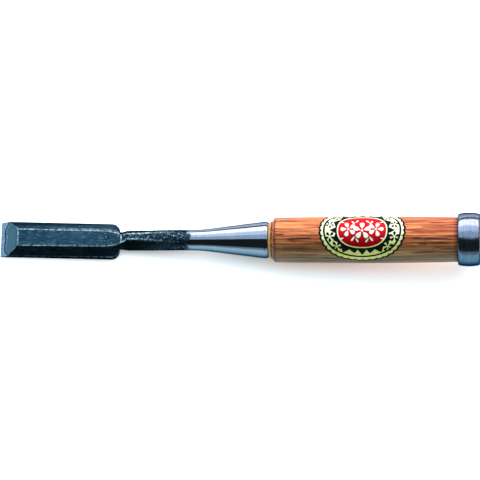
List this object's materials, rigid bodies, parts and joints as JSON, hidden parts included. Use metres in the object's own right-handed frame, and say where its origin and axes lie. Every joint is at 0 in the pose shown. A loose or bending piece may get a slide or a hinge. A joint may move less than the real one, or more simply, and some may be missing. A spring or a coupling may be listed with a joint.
{
  "type": "mortise chisel",
  "caption": "Japanese style bench chisel with a laminated beveled blade, waisted neck, conical ferrule, round wooden handle, steel striking hoop and a printed foil label.",
  "frame": {"origin": "middle of the cutting edge, in the plane of the flat back of the blade", "axes": "+X along the blade from the cutting edge towards the handle, +Y across the blade, +Z out of the beveled side. The plane Z = 0 is the flat back. The axis of the neck, ferrule, handle and hoop lies in the XZ plane and rises from the back by just under 5 degrees"},
  "size_m": [0.2366, 0.0264, 0.0323],
  "materials": {
    "forged_iron": "blue-grey forged and drawn iron with dark scale on the sides and neck",
    "hard_steel": "finely ground bright hard steel",
    "polished_steel": "polished steel with faint turning lines",
    "handle_wood": "lacquered red-brown oak with dark pore streaks",
    "hoop_steel": "brushed blue-grey steel",
    "foil_label": "gold foil printed in black and red"
  },
  "bodies": {
    "root": {"blade_body": "forged_iron", "cutting_steel": "hard_steel", "ferrule": "polished_steel", "handle": "handle_wood", "hoop": "hoop_steel", "label": "foil_label"}
  },
  "joints": []
}
